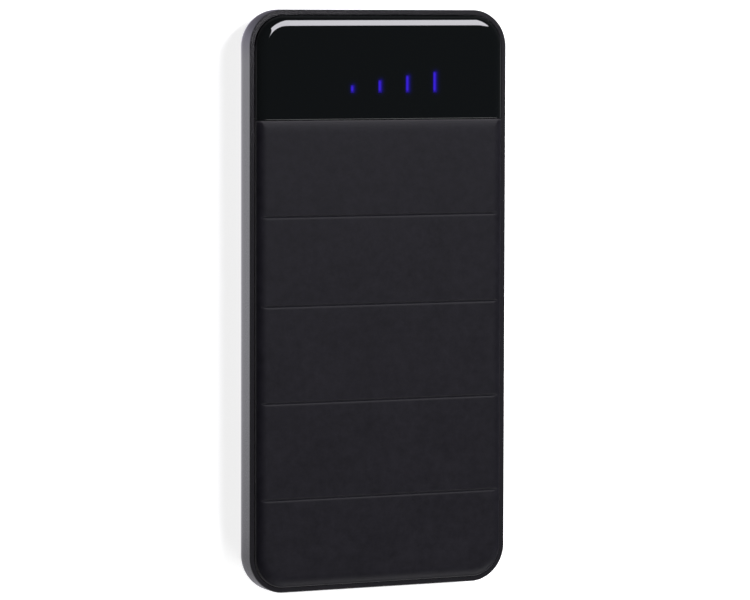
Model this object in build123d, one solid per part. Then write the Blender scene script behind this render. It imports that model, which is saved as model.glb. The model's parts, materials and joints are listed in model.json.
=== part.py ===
from build123d import *
import math
import os

# A slim power bank lying on its back: +Z out of the front face, +Y towards the end with the
# ports and the charge display, +X to the right when the front is seen. All sizes in millimetres.
# The origin is the middle of the flat back.

os.makedirs("parts", exist_ok=True)

# ---- casing -------------------------------------------------------------------------------
body_length = 141.5
body_width = 69.0
body_thickness = 12.0
corner_radius = 9.0
back_edge_radius = 6.6
wall = 1.8
floor = 1.6
rim_width = 1.2            # front-facing lip of the rear shell, seen round the cover
parting_gap = 0.15         # between that lip and the cover
cover_stand = 1.4          # how far the cover's flat stands above the lip
cover_edge_run = 2.8       # width of the cover's rolled edge
cover_plate = 1.6
skirt_wall = 1.0
skirt_depth = 1.2
snap_length = 8.0
snap_height = 0.6
snap_reach = 0.3
snap_clearance = 0.08

# ---- front face, distances from the port end ------------------------------------------------
window_length = 26.94      # gloss display window
groove_places = (50.27, 71.89, 95.38, 118.87)
groove_width = 0.9
groove_depth = 0.35
window_seam = 0.12         # open line between the window and the lower cover
window_plate = 1.0
window_lip = 1.3           # turned-down edge of the window
glue_gap = 0.05

# ---- charge display -------------------------------------------------------------------------
lens_heights = (1.8, 3.0, 4.1, 5.0)
lens_width = 0.9
lens_pitch = 7.42
lens_first_x = -7.95
lens_base_from_end = 20.12
lens_clearance = 0.04
lens_foot_ledge = 0.4
lens_foot_height = 0.5
mask_wall = 0.7
led_length = 1.0
led_width = 0.6
led_height = 0.5

# ---- circuit board --------------------------------------------------------------------------
board_length = 27.0
board_thickness = 1.0
board_to_skirt = 0.2
board_side_gap = 1.7
board_end_gap = 1.35
board_corner = 1.0
boss_radius = 2.0
boss_side_inset = 3.5
boss_end_inset = 5.2
boss_to_switch = 0.15
screw_shank_radius = 0.9
screw_length = 4.6
screw_head_radius = 1.6
screw_head_height = 0.9
screw_clearance = 0.02
board_hole_clearance = 0.15
cross_length = 1.7
cross_width = 0.45
cross_depth = 0.5

# ---- sockets --------------------------------------------------------------------------------
sheet = 0.3
usb_a_opening = (12.5, 5.12)
usb_a_length = 12.5
usb_a_corner = 0.5
usb_a_side_margin = 7.9    # board edge to the socket's side
usb_a_tongue = (11.1, 1.84, 8.8)
usb_a_tongue_lift = 0.55   # the tongue sits above the socket's middle
usb_a_base_length = 3.0
usb_a_contact = (1.0, 0.15, 7.0)
usb_a_contact_pitch = 2.3
micro_opening = (6.9, 1.85)
micro_length = 5.6
micro_corner = 0.45
micro_tongue = (4.4, 0.6, 3.0)
micro_base_length = 1.4
socket_recess = 1.35       # socket mouth behind the outermost line of the end wall
socket_clearance = 0.25
board_above_socket_axis = 2.4

# ---- power button and its switch ------------------------------------------------------------
button_from_end = 20.5
button_length = 9.0
button_height = 3.0
button_proud = 0.15
button_clearance = 0.12
button_flange = 0.7        # how far the inner flange is wider than the opening
button_flange_thickness = 0.6
button_nib_radius = 0.8
button_travel = 0.35
button_edge_round = 0.25
switch_size = (3.0, 4.6, 2.5)
plunger_size = (1.0, 1.8, 1.1)
plunger_stub = 0.8         # length of the plunger inside the switch at rest
plunger_clearance = 0.05
nib_gap = 0.05

# ---- inner frame, which holds the cell and carries the board ---------------------------------
frame_wall = 1.2
frame_height = 4.2
frame_clearance = 0.1      # to the inside of the rear shell
frame_to_cell = 0.3
frame_board_end_gap = 3.0
rib_thickness = 1.2
rib_count = 4
cross_bar_width = 2.0
cross_bar_height = 1.2

# ---- battery --------------------------------------------------------------------------------
cell_side_overhang = 0.1     # how far the cell passes the flat part of the floor
cell_end_overhang = 1.8
cell_edge_radius = 2.2
cell_corner_radius = 1.2
cell_to_board = 6.2
tape_thickness = 0.4
tape_size = (12.0, 84.0)
tape_offset = 15.0
foam_thickness = 0.5
foam_size = (44.0, 70.0)
tab_size = (5.0, 3.4, 0.2)
tab_offset = 9.0
guard_size = (30.0, 3.6, 1.0)
guard_gap = 0.7
guard_chip = (3.0, 1.8, 0.6)
lead_diameter = 1.2
lead_gap = 0.03
seal_tape_size = (50.0, 9.0, 0.1)

# Parts on the board's underside: size (x, y, z) and place (x, and the distance back from the
# inner ends of the USB-A sockets)
board_parts = {
    "power_inductor": [((7.0, 7.0, 4.0), (-6.5, 7.85))],
    "control_chips": [((5.0, 5.0, 0.9), (3.6, 8.85)), ((6.0, 4.9, 1.5), (-16.5, 8.45)),
                      ((4.9, 3.9, 1.5), (13.6, 4.45))],
    "capacitors": [((3.5, 2.8, 1.9), (-0.6, 2.65)), ((3.2, 1.6, 1.4), (5.4, 3.65)),
                   ((3.2, 1.6, 1.4), (-12.2, 3.65)), ((3.5, 2.8, 1.9), (-22.4, 6.65))],
}

# ---- worked out from the sizes above ----------------------------------------------------------
half_length = body_length / 2
half_width = body_width / 2
rim_z = body_thickness - cover_stand
cover_inner_z = body_thickness - cover_plate
skirt_z = cover_inner_z - skirt_depth
inner_half_width = half_width - wall
inner_half_length = half_length - wall
cover_inset = rim_width + parting_gap
cover_half_width = half_width - cover_inset
cover_half_length = half_length - cover_inset
cover_corner = corner_radius - cover_inset
window_y = half_length - window_length
socket_axis_z = body_thickness / 2
board_top_z = socket_axis_z + board_above_socket_axis
board_bottom_z = board_top_z - board_thickness
board_y1 = inner_half_length - board_end_gap
board_y0 = board_y1 - board_length
board_half_width = inner_half_width - board_side_gap
socket_mouth_y = half_length - socket_recess
notch_y = socket_mouth_y - usb_a_length - socket_clearance
usb_a_outer = (usb_a_opening[0] + 2 * sheet, usb_a_opening[1] + 2 * sheet)
micro_outer = (micro_opening[0] + 2 * sheet, micro_opening[1] + 2 * sheet)
usb_a_x = board_half_width - usb_a_side_margin - usb_a_outer[0] / 2
micro_axis_z = board_bottom_z - micro_outer[1] / 2
button_y = half_length - button_from_end
button_z = board_bottom_z - switch_size[2] / 2
lens_base_y = half_length - lens_base_from_end
lens_xs = [lens_first_x + lens_pitch * index for index in range(len(lens_heights))]
inner_back_radius = back_edge_radius - wall
tape_z = floor + tape_thickness
cell_top_z = cover_inner_z - foam_thickness
cell_width = 2 * (inner_half_width - inner_back_radius + cell_side_overhang)
cell_y0 = -(inner_half_length - inner_back_radius + cell_end_overhang)
cell_y1 = board_y0 - cell_to_board
lead_z = board_bottom_z - lead_diameter / 2 - lead_gap
guard_z = lead_z - lead_diameter / 2 - lead_gap - guard_size[2]
guard_y0 = cell_y1 + guard_gap


def slab(half_x, half_y, corner, z0, z1):
    """Rounded rectangle about the Z axis, from z0 to z1."""
    return Pos(0, 0, z0) * extrude(RectangleRounded(2 * half_x, 2 * half_y, corner), z1 - z0)


def block(x0, x1, y0, y1, z0, z1):
    """Box given by its limits."""
    middle = Pos((x0 + x1) / 2, (y0 + y1) / 2, (z0 + z1) / 2)
    return middle * Box(x1 - x0, y1 - y0, z1 - z0)


def post(x, y, radius, z0, z1):
    """Upright cylinder."""
    return Pos(x, y, (z0 + z1) / 2) * Cylinder(radius, z1 - z0)


def tube_end(x, z, width, height, corner, y0, y1):
    """Rounded rectangle in the XZ plane, run along Y from y0 to y1."""
    outline = Plane.XZ * Pos(x, z, 0) * RectangleRounded(width, height, corner)
    return Pos(0, y1, 0) * extrude(outline, y1 - y0)


def stadium_x(y, z, length, height, x0, x1):
    """Stadium outline in the YZ plane, run along X from x0 to x1."""
    outline = Plane.YZ * Pos(y, z, 0) * RectangleRounded(length, height, height / 2 - 0.01)
    return Pos(x0, 0, 0) * extrude(outline, x1 - x0)


def save(name, shape):
    export_step(shape, "parts/" + name + ".step")


def rolled_edge_waste():
    """What is taken off a square-edged cover to leave its rolled edge."""
    path = (Pos(0, 0, rim_z) * RectangleRounded(2 * cover_half_width, 2 * cover_half_length,
                                                cover_corner)).wire()
    start = path @ 0
    along = path % 0
    outward = Vector(along.Y, -along.X, 0)
    if outward.dot(Vector(start.X, start.Y, 0)) < 0:
        outward = -outward
    section_plane = Plane(origin=start, x_dir=outward, z_dir=outward.cross(Vector(0, 0, 1)))
    spare = 1.0
    roll = EllipticalCenterArc((-cover_edge_run, 0), cover_edge_run, cover_stand,
                               start_angle=0, arc_size=90)
    rest = Polyline((-cover_edge_run, cover_stand), (-cover_edge_run, cover_stand + spare),
                    (spare, cover_stand + spare), (spare, 0), (0, 0))
    section = section_plane * make_face([roll, rest])
    return sweep(section, path=path)


def socket_room(x, z, outer, corner):
    """Room for a socket and its clearance, out through the end wall."""
    width = outer[0] + 2 * socket_clearance
    height = outer[1] + 2 * socket_clearance
    return tube_end(x, z, width, height, corner + socket_clearance,
                    inner_half_length - usb_a_length, half_length + 1)


def button_room():
    """Room for the button, its flange and its travel."""
    hole = stadium_x(button_y, button_z, button_length + 2 * button_clearance,
                     button_height + 2 * button_clearance, inner_half_width - wall,
                     half_width + 1)
    spot = block(inner_half_width - 2 * wall, inner_half_width,
                 button_y - button_length / 2 - button_flange - button_clearance,
                 button_y + button_length / 2 + button_flange + button_clearance,
                 button_z - button_height / 2 - button_flange - button_clearance,
                 button_z + button_height / 2 + button_flange + button_clearance)
    return hole + spot


def snap_places():
    """Middles of the snaps: (x, y, True where the snap runs along Y)."""
    side_ys = [-0.36 * body_length, -0.12 * body_length, 0.12 * body_length]
    places = [(side * cover_half_width, y, True) for side in (-1, 1) for y in side_ys]
    return places + [(x, -cover_half_length, False) for x in (-snap_length, snap_length)]


def snap(x, y, along_y, extra):
    """Ridge on the cover's skirt, or with extra its pocket in the shell."""
    reach = 2 * (snap_reach + extra)
    run = snap_length + 2 * extra
    size = (reach, run) if along_y else (run, reach)
    z = (skirt_z + cover_inner_z) / 2
    return Pos(x, y, z) * Box(size[0], size[1], snap_height + 2 * extra)


def cavity(gap):
    """The room inside the rear shell, made smaller by gap at its sides but not at its floor."""
    room = slab(inner_half_width - gap, inner_half_length - gap, corner_radius - wall - gap,
                floor, rim_z + 1)
    return fillet(room.faces().sort_by(Axis.Z)[0].edges(), inner_back_radius)


socket_rooms = [socket_room(side * usb_a_x, socket_axis_z, usb_a_outer, usb_a_corner)
                for side in (-1, 1)]
socket_rooms.append(socket_room(0, micro_axis_z, micro_outer, micro_corner))
boss_xs = (-board_half_width + boss_side_inset, board_half_width - boss_side_inset)
boss_ys = (button_y - switch_size[1] / 2 - boss_to_switch - boss_radius,
           board_y1 - boss_end_inset)
boss_places = [(x, y) for x in boss_xs for y in boss_ys]


# ---- rear shell and the frame in it -------------------------------------------------------------
def rear_shell():
    outer = slab(half_width, half_length, corner_radius, 0, rim_z)
    outer = fillet(outer.faces().sort_by(Axis.Z)[0].edges(), back_edge_radius)
    rebate = slab(half_width - rim_width, half_length - rim_width, corner_radius - rim_width,
                  skirt_z, rim_z + 1)
    shell = outer - cavity(0) - rebate
    for room in socket_rooms:
        shell -= room
    for x, y, along_y in snap_places():
        shell -= snap(x, y, along_y, snap_clearance)
    return shell - button_room()


def inner_frame():
    """Ring round the cell with side ribs, a cross bar at the cell's end, and the screw posts."""
    inner_x = cell_width / 2 + frame_to_cell
    inner_y0 = cell_y0 - frame_to_cell
    y1 = board_y1 - frame_board_end_gap
    top = floor + frame_height
    frame = block(-inner_x - frame_wall, inner_x + frame_wall, inner_y0 - frame_wall, y1,
                  floor, top)
    frame -= block(-inner_x, inner_x, inner_y0, y1 + 1, floor - 1, top + 1)
    bar_y = cell_y1 + frame_to_cell
    frame += block(-inner_x - frame_wall, inner_x + frame_wall, bar_y,
                   bar_y + cross_bar_width, floor, floor + cross_bar_height)
    for index in range(rib_count):
        y = cell_y0 + (cell_y1 - cell_y0) * (index + 0.5) / rib_count
        for side in (-1, 1):
            near = side * (inner_x + frame_wall / 2)
            far = side * inner_half_width
            frame += block(min(near, far), max(near, far), y - rib_thickness / 2,
                           y + rib_thickness / 2, floor, top)
    for x, y in boss_places:
        frame += post(x, y, boss_radius, floor, board_bottom_z)
        frame += block(min(x, math.copysign(inner_x + frame_wall, x)),
                       max(x, math.copysign(inner_x + frame_wall, x)),
                       y - rib_thickness / 2, y + rib_thickness / 2, floor, top)
    frame = frame & cavity(frame_clearance)
    for x, y in boss_places:
        frame -= post(x, y, screw_shank_radius + screw_clearance, board_top_z - screw_length - 1,
                      board_bottom_z + 1)
    frame -= block(switch_x1 - switch_size[0] - frame_to_cell, inner_half_width,
                   button_y - switch_size[1] / 2 - frame_to_cell,
                   button_y + switch_size[1] / 2 + frame_to_cell,
                   board_bottom_z - switch_size[2] - frame_to_cell, board_top_z)
    return frame - button_room()


# ---- front cover: matt lower face, skirt, and the carrier under the window ----------------------
def front_cover(full):
    cover = full - block(-half_width, half_width, window_y, half_length, cover_inner_z - 1,
                         body_thickness + 1)
    carrier = slab(cover_half_width - window_lip - glue_gap,
                   cover_half_length - window_lip - glue_gap,
                   cover_corner - window_lip - glue_gap,
                   skirt_z, body_thickness - window_plate - glue_gap)
    skirt_band = slab(cover_half_width, cover_half_length, cover_corner, skirt_z,
                      cover_inner_z - glue_gap)
    cover += (carrier + skirt_band) & block(-half_width, half_width, window_y - 1,
                                            half_length, skirt_z, body_thickness)
    hollow = slab(cover_half_width - skirt_wall, cover_half_length - skirt_wall,
                  cover_corner - skirt_wall, skirt_z - 1, cover_inner_z)
    cover -= hollow
    for place in groove_places:
        y = half_length - place
        edge = body_thickness
        cut = Polyline((y - groove_width / 2, edge), (y, edge - groove_depth),
                       (y + groove_width / 2, edge), (y + groove_width / 2, edge + 1),
                       (y - groove_width / 2, edge + 1), close=True)
        cover -= Pos(-half_width, 0, 0) * extrude(Plane.YZ * make_face(cut), body_width)
    for x, y, along_y in snap_places():
        cover += snap(x, y, along_y, 0) & slab(half_width - rim_width + snap_reach,
                                               half_length - rim_width + snap_reach,
                                               corner_radius, skirt_z, cover_inner_z)
    for x, height in zip(lens_xs, lens_heights):
        cover -= lens_bar(x, height, lens_clearance, skirt_z, body_thickness + 1)
    for room in socket_rooms:
        cover -= room
    return cover - button_room()


# ---- gloss display window ---------------------------------------------------------------------
def display_window(full):
    region = block(-half_width, half_width, window_y + window_seam, half_length,
                   cover_inner_z, body_thickness + 1)
    window = full & region
    window -= slab(cover_half_width - window_lip, cover_half_length - window_lip,
                   cover_corner - window_lip, cover_inner_z - 1, body_thickness - window_plate)
    for x, height in zip(lens_xs, lens_heights):
        window -= lens_bar(x, height, lens_clearance, cover_inner_z, body_thickness + 1)
    return window


# ---- charge display: lenses, light mask and light-emitting diodes -------------------------------
def lens_bar(x, height, extra, z0, z1):
    return block(x - lens_width / 2 - extra, x + lens_width / 2 + extra, lens_base_y - extra,
                 lens_base_y + height + extra, z0, z1)


def lens_foot(x, height, extra, z0, z1):
    return lens_bar(x, height, lens_foot_ledge + extra, z0, z1)


def lens(x, height):
    bar = lens_bar(x, height, 0, cover_inner_z - lens_foot_height / 2, body_thickness)
    foot = lens_foot(x, height, 0, cover_inner_z - lens_foot_height, cover_inner_z)
    return bar + foot


def light_mask():
    reach = lens_foot_ledge + lens_clearance + mask_wall + lens_width / 2
    mask = block(lens_xs[0] - reach, lens_xs[-1] + reach,
                 lens_base_y - lens_foot_ledge - lens_clearance - mask_wall,
                 lens_base_y + max(lens_heights) + lens_foot_ledge + lens_clearance + mask_wall / 2,
                 board_top_z, cover_inner_z)
    for x, height in zip(lens_xs, lens_heights):
        mask -= lens_foot(x, height, lens_clearance, board_top_z, cover_inner_z)
    return mask


def indicator_leds():
    return [block(x - led_width / 2, x + led_width / 2,
                  lens_base_y + height / 2 - led_length / 2,
                  lens_base_y + height / 2 + led_length / 2, board_top_z,
                  board_top_z + led_height)
            for x, height in zip(lens_xs, lens_heights)]


# ---- circuit board and what is soldered to it ---------------------------------------------------
def circuit_board():
    outline = Pos(0, (board_y0 + board_y1) / 2) * RectangleRounded(2 * board_half_width,
                                                                 board_length, board_corner)
    board = Pos(0, 0, board_bottom_z) * extrude(outline, board_thickness)
    notch_half = usb_a_outer[0] / 2 + socket_clearance / 2
    for side in (-1, 1):
        board -= block(side * usb_a_x - notch_half, side * usb_a_x + notch_half, notch_y,
                       board_y1 + 1, board_bottom_z - 1, board_top_z + 1)
    for x, y in boss_places:
        board -= post(x, y, screw_shank_radius + board_hole_clearance, board_bottom_z - 1,
                      board_top_z + 1)
    inset = skirt_wall + board_to_skirt
    return board & slab(cover_half_width - inset, cover_half_length - inset,
                        cover_corner - inset, board_bottom_z, board_top_z)


def board_screw(x, y):
    head = post(x, y, screw_head_radius, board_top_z, board_top_z + screw_head_height)
    head = fillet(head.faces().sort_by(Axis.Z)[-1].edges(), screw_head_height / 2)
    screw = head + post(x, y, screw_shank_radius, board_top_z - screw_length, board_top_z)
    top = board_top_z + screw_head_height
    for size in ((cross_length, cross_width), (cross_width, cross_length)):
        screw -= Pos(x, y, top) * Box(size[0], size[1], 2 * cross_depth)
    return screw


def socket_shell(x, z, opening, corner, length):
    outer = tube_end(x, z, opening[0] + 2 * sheet, opening[1] + 2 * sheet, corner + sheet,
                     socket_mouth_y - length, socket_mouth_y)
    return outer - tube_end(x, z, opening[0], opening[1], corner,
                            socket_mouth_y - length + sheet, socket_mouth_y + 1)


def socket_tongue(x, z, opening, corner, length, tongue, lift, base_length):
    y0 = socket_mouth_y - length + sheet
    base = tube_end(x, z, opening[0], opening[1], corner, y0, y0 + base_length)
    blade = block(x - tongue[0] / 2, x + tongue[0] / 2, y0 + base_length - sheet,
                  y0 + base_length + tongue[2], z + lift - tongue[1] / 2,
                  z + lift + tongue[1] / 2)
    return base + blade


def usb_a_contacts(x):
    y0 = socket_mouth_y - usb_a_length + sheet + usb_a_base_length
    top = socket_axis_z + usb_a_tongue_lift - usb_a_tongue[1] / 2
    width, thickness, length = usb_a_contact
    return [block(x + usb_a_contact_pitch * step - width / 2,
                  x + usb_a_contact_pitch * step + width / 2, y0, y0 + length,
                  top - thickness, top)
            for step in (-1.5, -0.5, 0.5, 1.5)]


def board_part(size, place):
    x, back = place
    y = notch_y - back
    body = block(x - size[0] / 2, x + size[0] / 2, y - size[1] / 2, y + size[1] / 2,
                 board_bottom_z - size[2], board_bottom_z)
    return chamfer(body.edges().filter_by(Axis.Z), 0.12 * min(size[0], size[1]))


# ---- power button, switch and plunger -------------------------------------------------------------
switch_x1 = inner_half_width - button_flange_thickness - plunger_size[0] - nib_gap - 0.3
plunger_tip_x = switch_x1 + plunger_size[0]


def power_button():
    cap = stadium_x(button_y, button_z, button_length, button_height,
                    inner_half_width - button_flange_thickness, half_width + button_proud)
    cap = fillet(cap.faces().sort_by(Axis.X)[-1].edges(), button_edge_round)
    flange = stadium_x(button_y, button_z, button_length + 2 * button_flange,
                       button_height + 2 * button_flange,
                       inner_half_width - button_flange_thickness, inner_half_width)
    nib_x0 = plunger_tip_x + nib_gap
    nib_x1 = inner_half_width - button_flange_thickness / 2
    nib = (Pos((nib_x0 + nib_x1) / 2, button_y, button_z) * Rot(0, 90, 0)
           * Cylinder(button_nib_radius, nib_x1 - nib_x0))
    return cap + flange + nib


def plunger_box(extra, x0, x1):
    width = plunger_size[1] / 2 + extra
    height = plunger_size[2] / 2 + extra
    return block(x0, x1, button_y - width, button_y + width, button_z - height,
                 button_z + height)


def switch_body():
    body = block(switch_x1 - switch_size[0], switch_x1, button_y - switch_size[1] / 2,
                 button_y + switch_size[1] / 2, board_bottom_z - switch_size[2],
                 board_bottom_z)
    room = plunger_stub + button_travel + plunger_clearance
    return body - plunger_box(plunger_clearance, switch_x1 - room, switch_x1 + 1)


def switch_plunger():
    return plunger_box(0, switch_x1 - plunger_stub, plunger_tip_x)


# ---- battery: cell, tabs, guard board, leads and pads -----------------------------------------------
def battery_cell():
    cell = block(-cell_width / 2, cell_width / 2, cell_y0, cell_y1, tape_z, cell_top_z)
    cell = fillet(cell.edges().filter_by(Axis.Y), cell_edge_radius)
    return fillet(cell.faces().sort_by(Axis.Y)[0].edges()
                  + cell.faces().sort_by(Axis.Y)[-1].edges(), cell_corner_radius)


def battery_tab(side):
    x = side * tab_offset
    return block(x - tab_size[0] / 2, x + tab_size[0] / 2, cell_y1, cell_y1 + tab_size[1],
                 guard_z - tab_size[2], guard_z)


def guard_board():
    board = block(-guard_size[0] / 2, guard_size[0] / 2, guard_y0, guard_y0 + guard_size[1],
                  guard_z, guard_z + guard_size[2])
    chips = [block(x - guard_chip[0] / 2, x + guard_chip[0] / 2,
                   guard_y0 + guard_size[1] / 2 - guard_chip[1] / 2,
                   guard_y0 + guard_size[1] / 2 + guard_chip[1] / 2,
                   guard_z + guard_size[2], guard_z + guard_size[2] + guard_chip[2])
             for x in (-2.5, 2.5)]
    return board + chips[0] + chips[1]


def battery_lead(side):
    radius = lead_diameter / 2
    y0 = guard_y0 + guard_size[1] / 2
    route = [(side * 9.0, y0, lead_z), (side * 9.0, y0 + 4.0, lead_z),
             (side * 12.5, y0 + 7.0, lead_z), (side * 12.5, y0 + 11.0, lead_z)]
    radii = []
    for before, corner, after in zip(route, route[1:], route[2:]):
        run_in = Vector(corner) - Vector(before)
        run_out = Vector(after) - Vector(corner)
        turn = math.radians(run_in.get_angle(run_out))
        radii.append(0.45 * min(run_in.length, run_out.length) / math.tan(turn / 2))
    path = FilletPolyline(*route, radius=radii)
    section = Plane(origin=path @ 0, z_dir=path % 0) * Circle(radius)
    lead = sweep(section, path=path)
    print("lead", side, "length %.1f" % path.length, "radii", [round(r, 1) for r in radii],
          "volume %.2f of %.2f" % (lead.volume, math.pi * radius ** 2 * path.length))
    return lead


def cell_seal_tape():
    width, length, thickness = seal_tape_size
    return block(-width / 2, width / 2, cell_y1 - cell_corner_radius - length,
                 cell_y1 - cell_corner_radius, cell_top_z, cell_top_z + thickness)


def battery_tape():
    middle = (cell_y0 + cell_y1) / 2
    return [block(side * tape_offset - tape_size[0] / 2, side * tape_offset + tape_size[0] / 2,
                  middle - tape_size[1] / 2, middle + tape_size[1] / 2, floor, tape_z)
            for side in (-1, 1)]


def battery_foam():
    middle = (cell_y0 + cell_y1) / 2
    return block(-foam_size[0] / 2, foam_size[0] / 2, middle - foam_size[1] / 2,
                 middle + foam_size[1] / 2, cell_top_z, cover_inner_z)


full_cover = slab(cover_half_width, cover_half_length, cover_corner, skirt_z, body_thickness)
full_cover -= rolled_edge_waste()

save("rear_shell", rear_shell())
save("inner_frame", inner_frame())
save("front_cover", front_cover(full_cover))
save("display_window", display_window(full_cover))
for number, (x, height) in enumerate(zip(lens_xs, lens_heights), 1):
    save("indicator_lens_%d" % number, lens(x, height))
save("light_mask", light_mask())
save("indicator_leds", Compound(indicator_leds()))
save("circuit_board", circuit_board())
save("board_screws", Compound([board_screw(x, y) for x, y in boss_places]))
for name, entries in board_parts.items():
    save(name, Compound([board_part(size, place) for size, place in entries]))
for name, side in (("left", -1), ("right", 1)):
    x = side * usb_a_x
    save("usb_a_shell_" + name, socket_shell(x, socket_axis_z, usb_a_opening, usb_a_corner,
                                             usb_a_length))
    save("usb_a_tongue_" + name, socket_tongue(x, socket_axis_z, usb_a_opening, usb_a_corner,
                                               usb_a_length, usb_a_tongue, usb_a_tongue_lift,
                                               usb_a_base_length))
    save("usb_a_contacts_" + name, Compound(usb_a_contacts(x)))
save("micro_usb_shell", socket_shell(0, micro_axis_z, micro_opening, micro_corner,
                                     micro_length))
save("micro_usb_tongue", socket_tongue(0, micro_axis_z, micro_opening, micro_corner,
                                       micro_length, micro_tongue, 0, micro_base_length))
save("power_button", power_button())
save("switch_body", switch_body())
save("switch_plunger", switch_plunger())
save("battery_cell", battery_cell())
save("battery_tab_positive", battery_tab(1))
save("battery_tab_negative", battery_tab(-1))
save("battery_guard_board", guard_board())
save("battery_lead_red", battery_lead(1))
save("battery_lead_black", battery_lead(-1))
save("battery_tape", Compound(battery_tape()))
save("battery_foam", battery_foam())
save("cell_seal_tape", cell_seal_tape())
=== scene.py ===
import json
import math
import bmesh
import bpy
from mathutils import Matrix, Vector


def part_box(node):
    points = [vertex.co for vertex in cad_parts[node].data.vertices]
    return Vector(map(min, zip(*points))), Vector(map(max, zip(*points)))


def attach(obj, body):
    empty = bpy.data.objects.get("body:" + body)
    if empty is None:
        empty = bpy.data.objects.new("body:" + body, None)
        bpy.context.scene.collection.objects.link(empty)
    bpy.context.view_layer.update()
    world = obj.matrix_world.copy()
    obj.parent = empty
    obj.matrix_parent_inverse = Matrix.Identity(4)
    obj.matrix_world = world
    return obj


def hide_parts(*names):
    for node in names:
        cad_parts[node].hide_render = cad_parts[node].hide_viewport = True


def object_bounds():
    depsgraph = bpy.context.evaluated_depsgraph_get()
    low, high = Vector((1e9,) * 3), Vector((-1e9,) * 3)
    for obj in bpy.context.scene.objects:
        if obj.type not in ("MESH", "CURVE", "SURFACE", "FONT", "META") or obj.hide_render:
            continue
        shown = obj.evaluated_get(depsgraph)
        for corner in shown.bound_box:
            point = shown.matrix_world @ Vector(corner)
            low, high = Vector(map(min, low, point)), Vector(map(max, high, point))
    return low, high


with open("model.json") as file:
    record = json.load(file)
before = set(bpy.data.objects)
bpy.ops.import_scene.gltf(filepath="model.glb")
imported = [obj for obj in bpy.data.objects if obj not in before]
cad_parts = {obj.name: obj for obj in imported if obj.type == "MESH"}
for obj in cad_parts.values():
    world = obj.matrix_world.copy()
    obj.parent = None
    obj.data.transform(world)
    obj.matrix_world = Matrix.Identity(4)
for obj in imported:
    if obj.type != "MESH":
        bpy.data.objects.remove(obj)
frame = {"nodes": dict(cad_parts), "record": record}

cadLow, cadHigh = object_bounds()
mm = 0.001
nodes = frame["nodes"]
print("frame loaded:", len(nodes), "parts")


# Placing and finishing of pieces

def linkPiece(name, data):
    piece = bpy.data.objects.new(name, data)
    bpy.context.scene.collection.objects.link(piece)
    return piece


def meshFrom(name, points, faces):
    # Closed mesh from points in millimetres, with its faces pointing outwards.
    mesh = bpy.data.meshes.new(name)
    mesh.from_pydata([tuple(c * mm for c in p) for p in points], [], faces)
    work = bmesh.new()
    work.from_mesh(mesh)
    bmesh.ops.remove_doubles(work, verts=work.verts, dist=1e-7)
    bmesh.ops.recalc_face_normals(work, faces=work.faces)
    work.to_mesh(mesh)
    work.free()
    return mesh


def plainMesh(piece):
    # The piece with its modifiers taken into its mesh.
    graph = bpy.context.evaluated_depsgraph_get()
    mesh = bpy.data.meshes.new_from_object(piece.evaluated_get(graph))
    piece.modifiers.clear()
    piece.data = mesh
    return piece


def nodeTree(name, sockets):
    # An empty Geometry Nodes tree with its named inputs. A socket is (name, kind, value).
    group = bpy.data.node_groups.new(name, "GeometryNodeTree")
    group.interface.new_socket("Geometry", in_out="INPUT", socket_type="NodeSocketGeometry")
    group.interface.new_socket("Geometry", in_out="OUTPUT", socket_type="NodeSocketGeometry")
    for label, kind, value in sockets:
        made = group.interface.new_socket(label, in_out="INPUT",
                                          socket_type="NodeSocket" + kind)
        if value is not None:
            made.default_value = value
    tree = Tree(group)
    return tree, tree.add("NodeGroupInput").outputs


def growPiece(piece, tree, **values):
    # Runs a tree on a piece and leaves a plain mesh. Inputs go in by socket identifier.
    grow = piece.modifiers.new("grow", "NODES")
    grow.node_group = tree.tree
    for item in tree.tree.interface.items_tree:
        if item.in_out == "INPUT" and item.name in values:
            grow[item.identifier] = values[item.name]
    return plainMesh(piece)


def closeTree(tree, geometry, finish):
    real = tree.add("GeometryNodeRealizeInstances", {0: geometry}).outputs[0]
    tinted = tree.add("GeometryNodeSetMaterial", {"Geometry": real, "Material": finish})
    tree.add("NodeGroupOutput", {0: tinted.outputs[0]})
    return tree


def rowsTree(name, count):
    # Copies of one shape along several straight rows, each row with its own turn.
    sockets = [("Shape", "Object", None), ("Finish", "Material", None)]
    for k in range(1, count + 1):
        sockets += [("Start%d" % k, "Vector", (0, 0, 0)), ("Step%d" % k, "Vector", (0, 0, 0)),
                    ("Count%d" % k, "Int", 2), ("Turn%d" % k, "Float", 0.0)]
    tree, given = nodeTree(name, sockets)
    shape = tree.add("GeometryNodeObjectInfo", {"Object": given["Shape"]})
    joined = tree.add("GeometryNodeJoinGeometry")
    for k in range(1, count + 1):
        row = tree.add("GeometryNodeMeshLine", {"Count": given["Count%d" % k],
                                                "Start Location": given["Start%d" % k],
                                                "Offset": given["Step%d" % k]})
        turn = tree.add("ShaderNodeCombineXYZ", {"Z": given["Turn%d" % k]})
        placed = tree.add("GeometryNodeInstanceOnPoints", {
            "Points": row.outputs[0], "Instance": shape.outputs["Geometry"],
            "Rotation": turn.outputs[0]})
        tree.tree.links.new(placed.outputs[0], joined.inputs[0])
    return closeTree(tree, joined.outputs[0], given["Finish"])


def repeatPiece(name, shape, rows, slot, stoodFor=(), sharpAngle=35):
    # rows: (start, step, count, turn) in millimetres and degrees.
    tree = rowsTree(name + "Rows", len(rows))
    piece = linkPiece(name, bpy.data.meshes.new(name))
    values = {"Shape": shape, "Finish": slotMaterials[slot]}
    for k, (start, step, count, turn) in enumerate(rows, 1):
        values["Start%d" % k] = [c * mm for c in start]
        values["Step%d" % k] = [c * mm for c in step]
        values["Count%d" % k] = count
        values["Turn%d" % k] = math.radians(turn)
    growPiece(piece, tree, **values)
    bpy.data.objects.remove(shape)
    smoothShade(piece, sharpAngle)
    return finishPiece(piece, "casing", slot, stoodFor)


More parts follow.
